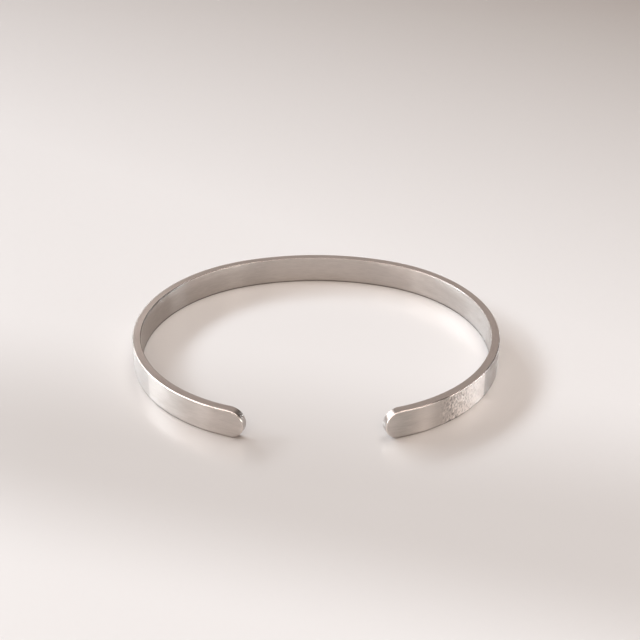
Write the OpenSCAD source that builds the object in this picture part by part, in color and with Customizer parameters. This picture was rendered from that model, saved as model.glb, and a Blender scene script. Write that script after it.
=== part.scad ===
// Open cuff bangle, bent from one flat bar of stainless steel with round tips.
// It lies on one edge of the bar. +Z is up, and the opening between the tips faces -Y.
// The origin is the middle of its box, on the surface that it rests on.

/* [Loop] */
// Width of the loop over the outside, from side to side
outer_width = 63; // [56:0.5:70]
// How much smaller the oval is from front to back than from side to side
depth_shortfall = 7.2; // [1:0.1:12]
// Straight stretch that the bending leaves at each end, before the round tip; more of it narrows the opening
end_straight = 0.55; // [0.05:0.05:5]

/* [Bar] */
// Height of the flat bar, which is the width of the cuff on the wrist
bar_height = 5; // [4:0.1:8]
// Thickness of the flat bar
bar_thickness = 1.4; // [1:0.1:2.4]
// Width of the bevel on the two edges of the outer face
outer_bevel = 0.18; // [0.05:0.01:0.4]
// Width of the bevel on the two edges of the inner face
inner_bevel = 0.1; // [0.05:0.01:0.3]

/* [Hidden] */
$fn = 128;

STEEL = [0.74, 0.71, 0.68];

// In plan the oval has a long arc at the back and a tighter arc at each side. They meet
// tangentially at the seams. A side arc also ends at a seam at the front, where the straight end starts.
// Unit vector from a side arc's centre to its back seam, 20.6 degrees off the Y axis
seam = [0.352, 0.936];
// Distance between the centre of a side arc and the centre of the back arc
centre_distance = depth_shortfall / 2 / (seam.x + seam.y - 1);
side_centre = centre_distance * seam.x;
side_radius = outer_width / 2 - side_centre;
back_centre = -centre_distance * seam.y;
back_radius = side_radius + centre_distance;

tip_radius = bar_height / 2;
front_seam = [side_centre + side_radius * seam.x, -side_radius * seam.y];
tip_front = front_seam.y - (end_straight + tip_radius) * seam.x;
// Middle of the oval's box along Y, which the origin moves to
box_middle = (back_centre + back_radius + tip_front) / 2;
// Longer than any radius, for the wedges that cut the rings
reach = outer_width;

// Section of the bar, with the outer face at x = 0 and the inner face at x = -bar_thickness
module bar_section() {
    polygon([
        [inner_bevel - bar_thickness, 0],
        [-outer_bevel, 0],
        [0, outer_bevel],
        [0, bar_height - outer_bevel],
        [-outer_bevel, bar_height],
        [inner_bevel - bar_thickness, bar_height],
        [-bar_thickness, bar_height - inner_bevel],
        [-bar_thickness, inner_bevel],
    ]);
}

// Bar bent to a radius about the origin, kept inside the wedge that the directions span
module bent_bar(radius, directions) {
    intersection() {
        rotate_extrude()
            translate([radius, 0])
                bar_section();
        linear_extrude(height = bar_height)
            polygon(concat([[0, 0]], reach * directions));
    }
}

// Straight bar from the origin along -Y, with the outer face at x = 0
module straight_bar(length) {
    rotate([90, 0, 0])
        linear_extrude(height = length)
            bar_section();
}

// Half-round tip of the bar, past the origin along -Y, with the bevels carried round it
module round_tip() {
    translate([0, 0, tip_radius])
        rotate([0, 90, 0])
            rotate([0, 0, 180])
                rotate_extrude(angle = 180)
                    polygon([
                        [0, 0],
                        [tip_radius - outer_bevel, 0],
                        [tip_radius, -outer_bevel],
                        [tip_radius, inner_bevel - bar_thickness],
                        [tip_radius - inner_bevel, -bar_thickness],
                        [0, -bar_thickness],
                    ]);
}

// The side of the loop at +X, from the middle of the back round to the tip
module half_loop() {
    translate([0, back_centre, 0])
        bent_bar(back_radius, [[0, 1], seam]);
    translate([side_centre, 0, 0])
        bent_bar(side_radius, [seam, [1, seam.y], [1, -seam.y], [seam.x, -seam.y]]);
    translate([front_seam.x, front_seam.y, 0])
        rotate([0, 0, -atan2(seam.y, seam.x)]) {
            straight_bar(end_straight);
            translate([0, -end_straight, 0])
                round_tip();
        }
}

module cuff_band() {
    color(STEEL)
        translate([0, -box_middle, 0]) {
            half_loop();
            mirror([1, 0, 0])
                half_loop();
        }
}

cuff_band();
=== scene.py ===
from math import atan2, cos, hypot, pi, radians, sin, tan
import bpy
from mathutils import Matrix, Vector, noise


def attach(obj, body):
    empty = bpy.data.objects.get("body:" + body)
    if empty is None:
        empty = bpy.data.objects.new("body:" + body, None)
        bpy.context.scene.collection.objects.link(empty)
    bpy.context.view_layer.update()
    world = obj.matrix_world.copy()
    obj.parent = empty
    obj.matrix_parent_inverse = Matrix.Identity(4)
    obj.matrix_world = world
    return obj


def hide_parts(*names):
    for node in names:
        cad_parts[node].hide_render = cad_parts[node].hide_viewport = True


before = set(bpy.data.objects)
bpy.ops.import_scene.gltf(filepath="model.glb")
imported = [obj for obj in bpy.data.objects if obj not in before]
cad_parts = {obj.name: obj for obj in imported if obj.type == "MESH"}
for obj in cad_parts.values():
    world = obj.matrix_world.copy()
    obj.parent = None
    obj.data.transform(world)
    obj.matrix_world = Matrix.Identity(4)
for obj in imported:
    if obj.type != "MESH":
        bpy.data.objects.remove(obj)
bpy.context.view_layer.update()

# Sizes of the cuff in metres, the same as the CAD part's. The whole oval, without a gap, would be less deep
# than wide by DEPTH_SHORTFALL.
MM = 0.001
OUTER_WIDTH = 63 * MM
DEPTH_SHORTFALL = 7.2 * MM
END_STRAIGHT = 0.55 * MM
BAR_HEIGHT = 5 * MM
BAR_THICKNESS = 1.4 * MM
OUTER_BEVEL = 0.18 * MM
INNER_BEVEL = 0.1 * MM

# Plan of the cuff: a back arc, two side arcs and two straight ends that meet tangentially. SEAM is the
# direction from the arcs' centres to the place where the back arc meets the right side arc.
SEAM = Vector((0.352, 0.936))
SEAM_ANGLE = atan2(SEAM.x, SEAM.y)
CENTRE_DISTANCE = DEPTH_SHORTFALL / 2 / (SEAM.x + SEAM.y - 1)
SIDE_CENTRE = CENTRE_DISTANCE * SEAM.x
SIDE_RADIUS = OUTER_WIDTH / 2 - SIDE_CENTRE
BACK_CENTRE = -CENTRE_DISTANCE * SEAM.y
BACK_RADIUS = SIDE_RADIUS + CENTRE_DISTANCE
TIP_RADIUS = BAR_HEIGHT / 2
BACK_ARC = BACK_RADIUS * SEAM_ANGLE
SIDE_ARC = SIDE_RADIUS * (pi - 2 * SEAM_ANGLE)
# Places along the bar are distances on the outer face from the middle of the back, negative on the left.
# The round tips have their centres this far along.
HALF_LENGTH = BACK_ARC + SIDE_ARC + END_STRAIGHT
# Places in y: the front of the tips, and the middle of the whole cuff, which is moved to the origin
TIP_FRONT = -SIDE_RADIUS * SEAM.y - (END_STRAIGHT + TIP_RADIUS) * SEAM.x
BOX_MIDDLE = (BACK_CENTRE + BACK_RADIUS + TIP_FRONT) / 2

# Lightly hammered patch on the outer face near the right tip. It sets in faintly from its start, rises to
# full strength over one stretch and fades over another.
PATCH_START = 61.9 * MM
PATCH_RISE = (64 * MM, 67 * MM)
PATCH_FADE = (71 * MM, 74 * MM)
PATCH_FAINT = 0.3
PATCH_DEPTH = 0.045 * MM
# Size of one mark along the bar and across it, and how much it slants
MARK_WIDTH = 0.15 * MM
MARK_HEIGHT = 0.36 * MM
MARK_SLANT = 0.4
# How much the marks and a coarser pattern of them vary the depth, and the scale of the coarser one
MARK_CONTRAST = 0.7
COARSE_CONTRAST = 0.5
COARSE_SCALE = 0.4
# Painted reflections: dark and light stripes round the patch. Where the stripe's middle is at the bar's lower
# and upper edge, half the stripe's width, and what it adds to the steel's tone
REFLECTION_STRIPES = (
    (60.2 * MM, 60.2 * MM, 2 * MM, -0.12),
    (70.5 * MM, 72.2 * MM, 2 * MM, -0.1),
    (76 * MM, 76 * MM, 2.5 * MM, 0.15),
    (80 * MM, 80 * MM, 2.5 * MM, -0.1),
)

# Steel: its darkest and lightest colour, with tones from 0 to 1 between them. Its grain and its painted light
# and shade add to the plain steel's tone.
STEEL_DARK = (0.13, 0.12, 0.11)
STEEL_LIGHT = (0.87, 0.81, 0.77)
PLAIN_TONE = 0.5
# Painted highlight: what it adds to the tone of the outer bevel
OUTER_BEVEL_HIGHLIGHT_TONE = 0.35
# Painted contact shadow: what it adds to the tone along the lower edge
CONTACT_SHADE_TONE = -0.5
GRAIN_TONE = 0.12
# Painted shade in the hammer marks' dents and painted highlight on their peaks: how much they change the tone
DENT_SHADE_AND_HIGHLIGHT_TONE = 0.5
# Streaks of the brushing: their length along the bar and their width across it
FINE_STREAKS = (2.5 * MM, 0.08 * MM)
MIDDLING_STREAKS = (1.6 * MM, 0.25 * MM)
COARSE_STREAKS = (5 * MM, 0.9 * MM)
# How many finer layers the streaks' noise has, how strong they are, and the range of most of its values
STREAK_DETAIL = 2
STREAK_DETAIL_STRENGTH = 0.6
STREAK_RANGE = (0.3, 0.7)
# Painted sheen at both ends of the outer face, a lighter tone standing in for reflected light: what it adds
# to the tone, where it starts at a sharp border, and the stretch over which it fades towards the tip
PAINTED_SHEEN_LEFT = 0.12
PAINTED_SHEEN_RIGHT = 0.45
PAINTED_SHEEN_START_LEFT = 62.6 * MM
PAINTED_SHEEN_START_RIGHT = 61.9 * MM
PAINTED_SHEEN_FADE = (66 * MM, 74 * MM)
# Painted shade: darker stretches of the upper outer bevel, where its highlight is dimmed. Where each stretch
# starts, is full, starts to fade and ends, and what it adds to the tone
BEVEL_SHADE = (
    (-56 * MM, -52 * MM, -30 * MM, -24 * MM, -0.45),
    (46 * MM, 52 * MM, 60 * MM, 63 * MM, -0.75),
    (71 * MM, 72 * MM, 74.2 * MM, 75.2 * MM, -0.75),
)
# Painted shade on the upper inner bevel of the left half, which dims its glints, and the stretch over which
# it ends towards the back
INNER_BEVEL_SHADE_TONE = -0.45
INNER_BEVEL_SHADE_END = (-36 * MM, -24 * MM)
# Painted shade on the bar's edge at the left tip's shoulder and a painted highlight at the right one's. A
# shoulder's middle and half its width are turns round the tip.
SHOULDER_SHADE_AND_HIGHLIGHT = 0.3
SHOULDER = radians(40)
SHOULDER_REACH = radians(25)
# Painted light on a stretch of the rim round the left side: what that adds to the tone, its middle and half
# its width
LEFT_RIM_LIGHT_TONE = 0.3
LEFT_RIM = -44 * MM
LEFT_RIM_REACH = 28 * MM
# Roughness of the faces and the rim, how far the coarse streaks vary it, and roughness of the bevels
FACE_ROUGHNESS = 0.3
ROUGHNESS_SPREAD = 0.02
BEVEL_ROUGHNESS = 0.25
# How far the rim and the bevels draw a reflection out across the grain. The faces do so fully, at 1.
RIM_GRAIN = 0.3
# Depth of the fine scratches, and how strongly they show
SCRATCH_DEPTH = 0.004 * MM
SCRATCH_STRENGTH = 0.5
# Height of the painted contact shadow along the lower edge
CONTACT_SHADE_HEIGHT = 0.4 * MM
# Width over which the steel changes at a bevel's border
BORDER = 0.03 * MM

# Floor: its size, its lightest and darkest colour, and its gloss
FLOOR_SIZE = 4
FLOOR_LIGHT = (0.86, 0.85, 0.85)
FLOOR_DARK = (0.37, 0.33, 0.3)
FLOOR_ROUGHNESS = 0.22
FLOOR_SPECULAR = 1
# Painted shade darkens it towards the far right: the direction, and how far from the cuff's middle that
# starts and ends
FADE_DIRECTION = (0.6, 0.8)
FADE_START = 35 * MM
FADE_END = 280 * MM
# Soft painted shadow at the front: how dark it is, the places in y over which its far and its near edge fade,
# and how far each edge leans
SHADE_TONE = 0.43
SHADE_FAR_EDGE = (0 * MM, -38 * MM)
SHADE_FAR_TILT = 0.25
SHADE_NEAR_EDGE = (-70 * MM, -44 * MM)
SHADE_NEAR_TILT = 0.3

# Mesh: distance between its rows inside the patch and elsewhere, faces in a row on the outer and the inner
# side, and steps round a tip and a bevel
PATCH_STEP = 0.05 * MM
PLAIN_STEP = 0.4 * MM
OUTER_CELLS = 60
INNER_CELLS = 12
TIP_STEPS = 14
BEVEL_STEPS = 4
# Flat map: its first number is the distance along the bar. In its second the outer face starts at 0, the
# bevels and the rim start here, and the inner face lies below 0.
EDGE_ON_MAP = 2 * BAR_HEIGHT

# Camera at the photograph's place
CAMERA_AT = Vector((1.849, -179.869, 109.386)) * MM
CAMERA_DOWN = radians(29.869)
CAMERA_YAW = radians(0.378)
CAMERA_ROLL = radians(0.0755)
LENS = 67.575
SENSOR = 36

# Softboxes stand this far from the cuff. Each has the azimuths and elevations between which the cuff sees
# it, in degrees (0 is the right, 90 the back), and its brightness in red, green and blue.
LIGHT_DISTANCE = 5
# These light the cuff alone, as if they were flagged off the floor
CUFF_LIGHTS = {
    "rear": (55, 108, 9, 68, (0.3, 0.26, 0.24)),
    "left_wash": (108, 147, 9, 22, (2.6, 2.8, 2.8)),
    "left_soft": (147, 215, 9, 22, (2.5, 2.4, 2.4)),
    "key_rear": (128, 147, 22, 42, (2.6, 2.5, 2.5)),
    "key": (147, 180, 22, 42, (4.6, 4.9, 5.1)),
    "key_high": (140, 172, 42, 68, (2.2, 1.95, 1.95)),
    "key_front": (180, 215, 22, 42, (3.2, 2.9, 2.7)),
    "front_wash": (200, 310, 2, 22, (1.0, 0.85, 0.75)),
    "front_left": (215, 240, 9, 22, (1.9, 1.7, 1.6)),
    "front_high": (215, 300, 42, 68, (2.3, 2.1, 2.0)),
    "right_front_wash": (-50, -5, 2, 22, (1.0, 0.85, 0.75)),
    "right_front_high": (-45, -25, 42, 68, (5.3, 4.8, 4.3)),
}
# These light the floor alone
FLOOR_LIGHTS = {
    "floor_key": (115, 155, 24, 34, (9.8, 10.8, 11.6)),
    "floor_front": (240, 300, 30, 60, (1.7, 1.4, 1.1)),
    "floor_top": (0, 90, 60, 88, (3.5, 3.35, 3.2)),
}
# These light the floor alone too, but its sheen doesn't mirror them
FLOOR_MATT_LIGHTS = {
    "floor_key_matt": (115, 155, 24, 34, (5.2, 5.6, 6.0)),
    "floor_key_left": (155, 178, 24, 34, (13.4, 14.6, 15.7)),
}
# These light everything
LOW_LIGHTS = {
    "left_side": (163, 215, 2, 9, (2.4, 2.5, 2.5)),
    "left_low": (163, 180, 0.3, 2, (30.0, 33.0, 35.0)),
    "left_front_low": (180, 195, 0.3, 2, (16.0, 18.0, 19.0)),
    "front_left_low": (195, 240, 0.3, 2, (12.0, 11.0, 10.5)),
    "front_right_low": (300, 315, 0.3, 2, (13.0, 13.0, 13.0)),
    "right_front_low": (-45, -25, 0.3, 2, (10.5, 10.0, 9.5)),
    "right_front_side": (-25, -2, 0.3, 2, (13.0, 12.0, 11.5)),
    "right_low": (-2, 13, 0.3, 2, (13.0, 15.0, 16.0)),
    "right_side": (-2, 13, 2, 9, (4.5, 4.5, 4.5)),
    "right_rear_low": (13, 30, 0.3, 2, (21.0, 22.0, 23.0)),
    "rear_right_low": (30, 55, 0.3, 2, (12.0, 13.0, 14.0)),
}
# Even light from all round
FILL = (0.32, 0.27, 0.25)


def smoothstep(low, high, value):
    """0 at low, 1 at high, smooth in between."""
    x = min(max((value - low) / (high - low), 0), 1)
    return x * x * (3 - 2 * x)


def bump(value, middle, reach):
    """1 at the middle, 0 from reach on either side of it, smooth in between."""
    return 1 - smoothstep(0, reach, abs(value - middle))


def plan(s):
    """Point and inward normal of the outer face, s metres along the bar from the middle of the back."""
    mirror = Vector((1 if s >= 0 else -1, 1))
    s = abs(s)
    if s <= BACK_ARC:
        turn = s / BACK_RADIUS
        point = Vector((BACK_RADIUS * sin(turn), BACK_CENTRE + BACK_RADIUS * cos(turn)))
    else:
        turn = SEAM_ANGLE + min(s - BACK_ARC, SIDE_ARC) / SIDE_RADIUS
        point = Vector((SIDE_CENTRE + SIDE_RADIUS * sin(turn), SIDE_RADIUS * cos(turn)))
    straight = max(s - BACK_ARC - SIDE_ARC, 0)
    point += straight * Vector((cos(turn), -sin(turn))) - Vector((0, BOX_MIDDLE))
    return point * mirror, Vector((-sin(turn), -cos(turn))) * mirror


def band_point(s, z, depth):
    """Point of the bar at a distance along it, a height and a depth behind the outer face."""
    point, inward = plan(s)
    point += inward * depth
    return Vector((point.x, point.y, z))


def hammer_marks(s, z):
    """Strength of the patch at a place and how deep its marks are there, both from 0 to 1.

    The marks are short upright dents, a little slanted, and faint near the patch's start.
    """
    strength = PATCH_FAINT + (1 - PATCH_FAINT) * smoothstep(*PATCH_RISE, s)
    strength *= smoothstep(PATCH_START, PATCH_RISE[0], s) * (1 - smoothstep(*PATCH_FADE, s))
    across = z / MARK_HEIGHT
    place = Vector((s / MARK_WIDTH + MARK_SLANT * across, across, 0))
    dent = 0.5 + MARK_CONTRAST * noise.noise(place) + COARSE_CONTRAST * noise.noise(COARSE_SCALE * place)
    return strength, min(max(dent, 0), 1)


def painted_face_tone(s, z, strength, dent):
    """Painted sheen, dent shade and highlight, and reflection stripes: what they add to the steel's tone on
    the outer face.
    """
    painted_sheen, start = (PAINTED_SHEEN_RIGHT, PAINTED_SHEEN_START_RIGHT) if s > 0 else (PAINTED_SHEEN_LEFT, PAINTED_SHEEN_START_LEFT)
    if abs(s) < start:
        painted_sheen = 0
    painted_sheen *= 1 - smoothstep(*PAINTED_SHEEN_FADE, abs(s))
    tone = painted_sheen + DENT_SHADE_AND_HIGHLIGHT_TONE * strength * (1 - 2 * dent)
    for low, high, reach, reflection_tone in REFLECTION_STRIPES:
        tone += reflection_tone * bump(s, low + (high - low) * z / BAR_HEIGHT, reach)
    return tone


def painted_edge_tone(centre, turn, up, depth):
    """Painted shade and light that add to the steel's tone on the upper half of the bevels and the rim."""
    if up < 0:
        return 0
    # The row in which a bevel meets the rim counts as rim
    on_outer_bevel = depth < 0.9 * OUTER_BEVEL
    on_inner_bevel = depth > BAR_THICKNESS - 0.9 * INNER_BEVEL
    side = 1 if centre > 0 else -1
    tone = side * SHOULDER_SHADE_AND_HIGHLIGHT * bump(abs(turn), SHOULDER, SHOULDER_REACH)
    if on_outer_bevel:
        for start, full, fading, end, bevel_shade_tone in BEVEL_SHADE:
            tone += bevel_shade_tone * smoothstep(start, full, centre) * (1 - smoothstep(fading, end, centre))
    elif on_inner_bevel:
        tone += INNER_BEVEL_SHADE_TONE * (1 - smoothstep(*INNER_BEVEL_SHADE_END, centre))
    else:
        tone += LEFT_RIM_LIGHT_TONE * bump(centre, LEFT_RIM, LEFT_RIM_REACH)
    return tone


def stations():
    """Rows across the bar: the place of each one's centre and its turn round a tip, -90 to 90 degrees."""
    def spread(start, end, step):
        count = round((end - start) / step)
        return [start + (end - start) * i / count for i in range(count)]
    middle = spread(-HALF_LENGTH, PATCH_START, PLAIN_STEP)
    middle += spread(PATCH_START, PATCH_FADE[1], PATCH_STEP)
    middle += spread(PATCH_FADE[1], HALF_LENGTH, PLAIN_STEP) + [HALF_LENGTH]
    turns = [pi / 2 * i / TIP_STEPS for i in range(1, TIP_STEPS + 1)]
    left = [(-HALF_LENGTH, -turn) for turn in reversed(turns)]
    right = [(HALF_LENGTH, turn) for turn in turns]
    return left + [(s, 0.0) for s in middle] + right


def edge_profile():
    """Section of the bar's edge, from the outer face to the inner: each point's inset and its depth."""
    def bevel(size):
        turns = [pi / 2 * i / BEVEL_STEPS for i in range(BEVEL_STEPS + 1)]
        return [(size * (1 - sin(turn)), size * (1 - cos(turn))) for turn in turns]
    inner = [(inset, BAR_THICKNESS - depth) for inset, depth in reversed(bevel(INNER_BEVEL))]
    return bevel(OUTER_BEVEL) + inner


class Skin:
    """Vertices and faces of the bar. Each corner has a place on a flat map, along the bar and across it."""

    def __init__(self):
        self.points = []
        self.tones = []
        self.faces = []
        self.places = []

    def vertex(self, s, z, depth, tone=0):
        self.points.append(band_point(s, z, depth))
        self.tones.append(tone)
        return len(self.points) - 1

    def face(self, corners):
        """Adds a face from (vertex, map place) corners, without those that fall on the one before."""
        kept = [corner for i, corner in enumerate(corners) if corner[0] != corners[i - 1][0]]
        self.faces.append([vertex for vertex, _ in kept])
        self.places += [place for _, place in kept]

    def mesh(self, name):
        mesh = bpy.data.meshes.new(name)
        mesh.from_pydata(self.points, [], self.faces)
        grain = mesh.uv_layers.new(name="grain")
        for loop, place in zip(grain.data, self.places):
            loop.uv = place
        # The painted light and shade of each vertex
        mesh.attributes.new("painted_light", "FLOAT", "POINT").data.foreach_set("value", self.tones)
        mesh.shade_smooth()
        mesh.validate()
        return mesh


def broad_face(skin, places, inset, outer):
    """Grid over the outer or the inner face, with a single point at either end. Returns its edge."""
    count = OUTER_CELLS if outer else INNER_CELLS
    rows = []
    for centre, turn in places:
        reach = TIP_RADIUS - inset
        s = centre + reach * sin(turn)
        half = reach * cos(turn)
        heights = [TIP_RADIUS + half * (1 - 2 * j / count) for j in range(count + 1)]
        if abs(turn) == pi / 2:
            heights = [TIP_RADIUS]
        row = []
        for z in heights:
            if outer:
                strength, dent = hammer_marks(s, z)
                # Its tone carries the painted sheen, reflection stripes, and shade and highlight in the dents
                vertex = skin.vertex(s, z, PATCH_DEPTH * strength * dent, painted_face_tone(s, z, strength, dent))
                row.append((vertex, (s, z)))
            else:
                # The inner face's upper edge has the inner bevel's painted shade
                tone = painted_edge_tone(centre, turn, 1, BAR_THICKNESS) if z == heights[0] else 0
                row.append((skin.vertex(s, z, BAR_THICKNESS, tone), (s, -BAR_HEIGHT - z)))
        rows.append(row)
    for a, b in zip(rows, rows[1:]):
        for j in range(count):
            corners = [row[min(j + step, len(row) - 1)] for row, step in ((a, 0), (b, 0), (b, 1), (a, 1))]
            skin.face(corners[::-1] if outer else corners)
    top = [row[0][0] for row in rows]
    bottom = [row[-1][0] for row in rows[1:-1]]
    return top + bottom[::-1]


def edge_faces(skin, places, profile, outer_edge, inner_edge):
    """Strips round the bar, from the outer face's edge over the bevels and the rim to the inner face's."""
    around = [(centre, turn, 1) for centre, turn in places]
    around += [(centre, turn, -1) for centre, turn in places[-2:0:-1]]
    loops = [outer_edge]
    for inset, depth in profile[1:-1]:
        reach = TIP_RADIUS - inset
        # Their tone carries the painted shade and light of the bevels, the rim and the tip shoulders
        loops.append([skin.vertex(centre + reach * sin(turn), TIP_RADIUS + up * reach * cos(turn), depth,
                                  painted_edge_tone(centre, turn, up, depth)) for centre, turn, up in around])
    loops.append(inner_edge)
    along = [0]
    for (centre0, turn0, _), (centre1, turn1, _) in zip(around, around[1:] + around[:1]):
        along.append(along[-1] + abs(centre1 - centre0) + TIP_RADIUS * abs(turn1 - turn0))
    across = [EDGE_ON_MAP]
    for (inset0, depth0), (inset1, depth1) in zip(profile, profile[1:]):
        across.append(across[-1] + hypot(inset1 - inset0, depth1 - depth0))
    for k, (a, b) in enumerate(zip(loops, loops[1:])):
        for i in range(len(a)):
            j = (i + 1) % len(a)
            skin.face([(a[i], (along[i], across[k])), (a[j], (along[i + 1], across[k])),
                       (b[j], (along[i + 1], across[k + 1])), (b[i], (along[i], across[k + 1]))])


def make_band():
    """The whole bar as one object: both broad faces, the bevels and the rim."""
    places = stations()
    profile = edge_profile()
    skin = Skin()
    outer_edge = broad_face(skin, places, profile[0][0], True)
    inner_edge = broad_face(skin, places, profile[-1][0], False)
    edge_faces(skin, places, profile, outer_edge, inner_edge)
    band = bpy.data.objects.new("cuff_band_finish", skin.mesh("cuff_band_finish"))
    bpy.context.collection.objects.link(band)
    return band


def add_node(tree, kind, inputs, **settings):
    """Adds a shader node and returns its outputs. Inputs are numbers, colours or other nodes' outputs."""
    node = tree.nodes.new("ShaderNode" + kind)
    for name, value in settings.items():
        setattr(node, name, value)
    for name, value in inputs.items():
        if isinstance(value, bpy.types.NodeSocket):
            tree.links.new(value, node.inputs[name])
        else:
            node.inputs[name].default_value = value
    return node.outputs


def remap(tree, value, low, high, to_low, to_high):
    """Maps a value from low..high to to_low..to_high, smoothly and without leaving that range."""
    inputs = {"Value": value, "From Min": low, "From Max": high, "To Min": to_low, "To Max": to_high}
    return add_node(tree, "MapRange", inputs, interpolation_type="SMOOTHSTEP")["Result"]


def streaks(tree, place, length, width):
    """Noise drawn out along the bar, about length by width metres a streak."""
    stretched = add_node(tree, "Mapping", {"Vector": place, "Scale": (1 / length, 1 / width, 1)})["Vector"]
    inputs = {"Vector": stretched, "Scale": 1, "Detail": STREAK_DETAIL, "Roughness": STREAK_DETAIL_STRENGTH}
    return add_node(tree, "TexNoise", inputs, noise_dimensions="2D")["Fac"]


def new_material(name):
    """A new material, its node tree and its shader."""
    material = bpy.data.materials.new(name)
    material.use_nodes = True
    return material, material.node_tree, material.node_tree.nodes["Principled BSDF"]


def add_up(tree, start, *parts):
    """Sum of a number and of (output, factor) parts."""
    total = start
    for value, factor in parts:
        total = add_node(tree, "Math", {0: value, 1: factor, 2: total}, operation="MULTIPLY_ADD")["Value"]
    return total


def bevel_parts(tree, place):
    """Outputs that are 1 on the outer bevel, on the inner one, and on both with the rim, else 0."""
    across = add_node(tree, "SeparateXYZ", {"Vector": place})["Y"]
    outer_end = EDGE_ON_MAP + pi / 2 * OUTER_BEVEL
    inner_start = outer_end + BAR_THICKNESS - OUTER_BEVEL - INNER_BEVEL
    into_outer = remap(tree, across, EDGE_ON_MAP, EDGE_ON_MAP + BORDER, 0, 1)
    out_of_outer = remap(tree, across, outer_end - BORDER, outer_end, 0, 1)
    into_inner = remap(tree, across, inner_start, inner_start + BORDER, 0, 1)
    return add_up(tree, 0, (into_outer, 1), (out_of_outer, -1)), into_inner, into_outer


def brushed_steel():
    """Steel brushed along the bar, smoother on the bevels, painted lighter on the outer bevel as a highlight
    and darker at the bottom as a contact shadow.
    """
    material, tree, shader = new_material("brushed_steel")
    place = add_node(tree, "UVMap", {}, uv_map="grain")["UV"]
    fine = streaks(tree, place, *FINE_STREAKS)
    middling = streaks(tree, place, *MIDDLING_STREAKS)
    coarse = streaks(tree, place, *COARSE_STREAKS)
    outer_bevel, inner_bevel, rim = bevel_parts(tree, place)
    # Painted light and shade from the mesh: sheen, reflection stripes, dent shade and highlight, edge shade
    # and light
    painted_light = add_node(tree, "Attribute", {}, attribute_name="painted_light")["Fac"]
    # Painted contact shadow, darkest at the bottom and gone at its height
    height = add_node(tree, "SeparateXYZ", {"Vector": add_node(tree, "TexCoord", {})["Object"]})["Z"]
    contact_shade = remap(tree, height, 0, CONTACT_SHADE_HEIGHT, 1, 0)

    # The streaks are 0.5 on average, so the tone starts below the plain one by half of what each may add
    start = PLAIN_TONE - 1.5 * GRAIN_TONE
    grain = [(streak, GRAIN_TONE) for streak in (fine, middling, coarse)]
    # Painted light and shade: a highlight on the outer bevel, the mesh's painted tones, and a contact shadow
    # along the bottom
    edges = [(outer_bevel, OUTER_BEVEL_HIGHLIGHT_TONE), (painted_light, 1), (contact_shade, CONTACT_SHADE_TONE)]
    tone = add_up(tree, start, *grain, *edges)
    ramp = tree.nodes.new("ShaderNodeValToRGB")
    ramp.color_ramp.elements[0].color = (*STEEL_DARK, 1)
    ramp.color_ramp.elements[1].color = (*STEEL_LIGHT, 1)
    tree.links.new(tone, ramp.inputs["Fac"])
    tree.links.new(ramp.outputs["Color"], shader.inputs["Base Color"])

    smoothest = FACE_ROUGHNESS - ROUGHNESS_SPREAD
    roughest = FACE_ROUGHNESS + ROUGHNESS_SPREAD
    rough = remap(tree, coarse, *STREAK_RANGE, smoothest, roughest)
    smoother = BEVEL_ROUGHNESS - FACE_ROUGHNESS
    rough = add_up(tree, rough, (outer_bevel, smoother), (inner_bevel, smoother))
    tree.links.new(rough, shader.inputs["Roughness"])
    inputs = {"Height": fine, "Strength": SCRATCH_STRENGTH, "Distance": SCRATCH_DEPTH}
    scratches = add_node(tree, "Bump", inputs)["Normal"]
    tree.links.new(scratches, shader.inputs["Normal"])
    shader.inputs["Metallic"].default_value = 1
    # The tangent runs along the bar on the map, and a quarter turn draws reflections out across the grain
    tree.links.new(add_up(tree, 1, (rim, RIM_GRAIN - 1)), shader.inputs["Anisotropic"])
    shader.inputs["Anisotropic Rotation"].default_value = 0.25
    tangent = add_node(tree, "Tangent", {}, direction_type="UV_MAP", uv_map="grain")["Tangent"]
    tree.links.new(tangent, shader.inputs["Tangent"])
    return material


def pale_floor():
    """Satin off-white table top with painted shade: darker and warmer to the far right and in a soft shadow
    at the front.
    """
    material, tree, shader = new_material("pale_floor")
    place = add_node(tree, "NewGeometry", {})["Position"]
    axes = add_node(tree, "SeparateXYZ", {"Vector": place})
    to_far_right = add_up(tree, 0, (axes["X"], FADE_DIRECTION[0]), (axes["Y"], FADE_DIRECTION[1]))
    fade = {"Value": to_far_right, "From Min": FADE_START, "From Max": FADE_END}
    far_right = add_node(tree, "MapRange", fade)["Result"]

    to_far_edge = add_up(tree, 0, (axes["X"], SHADE_FAR_TILT), (axes["Y"], 1))
    to_near_edge = add_up(tree, 0, (axes["X"], SHADE_NEAR_TILT), (axes["Y"], 1))
    far_edge = remap(tree, to_far_edge, SHADE_FAR_EDGE[1], SHADE_FAR_EDGE[0], 1, 0)
    near_edge = remap(tree, to_near_edge, *SHADE_NEAR_EDGE, 0, 1)
    front = add_node(tree, "Math", {0: far_edge, 1: near_edge}, operation="MULTIPLY")["Value"]

    # Painted shade on the floor: the fade to the far right and the soft shadow at the front
    shade = add_up(tree, 0, (far_right, 1), (front, SHADE_TONE))
    ramp = tree.nodes.new("ShaderNodeValToRGB")
    ramp.color_ramp.elements[0].color = (*FLOOR_LIGHT, 1)
    ramp.color_ramp.elements[1].color = (*FLOOR_DARK, 1)
    tree.links.new(shade, ramp.inputs["Fac"])
    tree.links.new(ramp.outputs["Color"], shader.inputs["Base Color"])
    shader.inputs["Roughness"].default_value = FLOOR_ROUGHNESS
    shader.inputs["Specular IOR Level"].default_value = FLOOR_SPECULAR
    return material


def make_floor():
    """Floor with painted shade, which belongs to the stage and not to the part."""
    bpy.ops.mesh.primitive_plane_add(size=FLOOR_SIZE)
    floor = bpy.context.object
    floor.name = "floor"
    floor.data.materials.append(pale_floor())
    return floor


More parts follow.
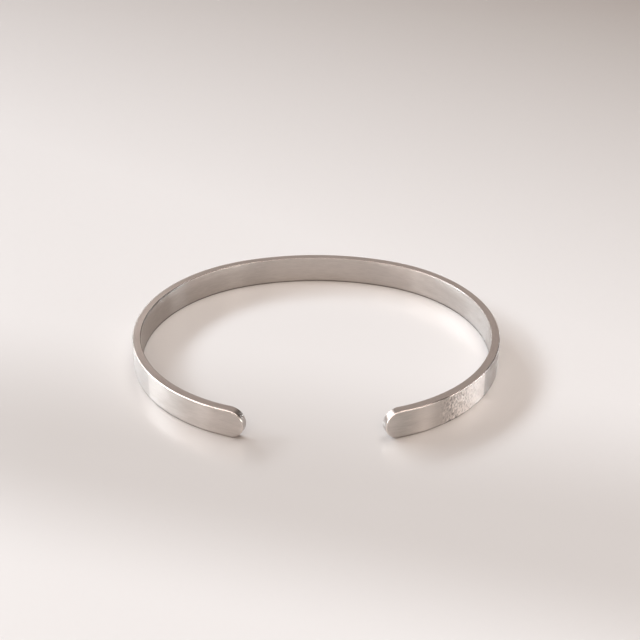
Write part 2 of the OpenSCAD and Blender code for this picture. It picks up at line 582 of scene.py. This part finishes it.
def softbox(name, left, right, low, high, brightness):
    """Rectangular light that the cuff sees between two azimuths and two elevations."""
    middle = radians(left + right) / 2
    up = radians(low + high) / 2
    direction = Vector((cos(middle) * cos(up), sin(middle) * cos(up), sin(up)))
    data = bpy.data.lights.new(name, "AREA")
    data.shape = "RECTANGLE"
    data.size = 2 * LIGHT_DISTANCE * tan(radians(right - left) / 2) * cos(up)
    data.size_y = 2 * LIGHT_DISTANCE * tan(radians(high - low) / 2)
    peak = max(brightness)
    data.color = [part / peak for part in brightness]
    # The power grows with the area, so a light is equally bright at any size
    data.energy = peak * pi * data.size * data.size_y
    light = bpy.data.objects.new(name, data)
    facing = direction.to_track_quat("Z", "Y").to_matrix().to_4x4()
    light.matrix_world = Matrix.Translation(direction * LIGHT_DISTANCE) @ facing
    bpy.context.collection.objects.link(light)
    return light


def light_rig(rig, thing=None):
    """Softboxes that light one object only, or everything. Everything throws its shadow in them."""
    lights = [softbox(name, *row) for name, row in rig.items()]
    if thing:
        receivers = bpy.data.collections.new("lit_" + thing.name)
        receivers.objects.link(thing)
        for light in lights:
            light.light_linking.receiver_collection = receivers
    return lights


def make_fill():
    """Even light from all round."""
    world = bpy.data.worlds.new("fill")
    world.use_nodes = True
    world.node_tree.nodes["Background"].inputs["Color"].default_value = (*FILL, 1)
    bpy.context.scene.world = world


def make_camera():
    """Camera at the photograph's place, with its small yaw and roll."""
    data = bpy.data.cameras.new("camera")
    data.lens = LENS
    data.sensor_width = SENSOR
    data.sensor_fit = "HORIZONTAL"
    data.clip_start = 10 * MM
    camera = bpy.data.objects.new("camera", data)
    turn = Matrix.Rotation(CAMERA_YAW, 4, "Z") @ Matrix.Rotation(pi / 2 - CAMERA_DOWN, 4, "X")
    camera.matrix_world = Matrix.Translation(CAMERA_AT) @ turn @ Matrix.Rotation(CAMERA_ROLL, 4, "Z")
    bpy.context.collection.objects.link(camera)
    bpy.context.scene.camera = camera


make_camera()
band = make_band()
band.data.materials.append(brushed_steel())
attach(band, "root")
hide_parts("cuff_band")
floor = make_floor()
make_fill()
light_rig(CUFF_LIGHTS, band)
light_rig(FLOOR_LIGHTS, floor)
for light in light_rig(FLOOR_MATT_LIGHTS, floor):
    light.visible_glossy = False
light_rig(LOW_LIGHTS)
bpy.context.scene.view_settings.view_transform = "Standard"
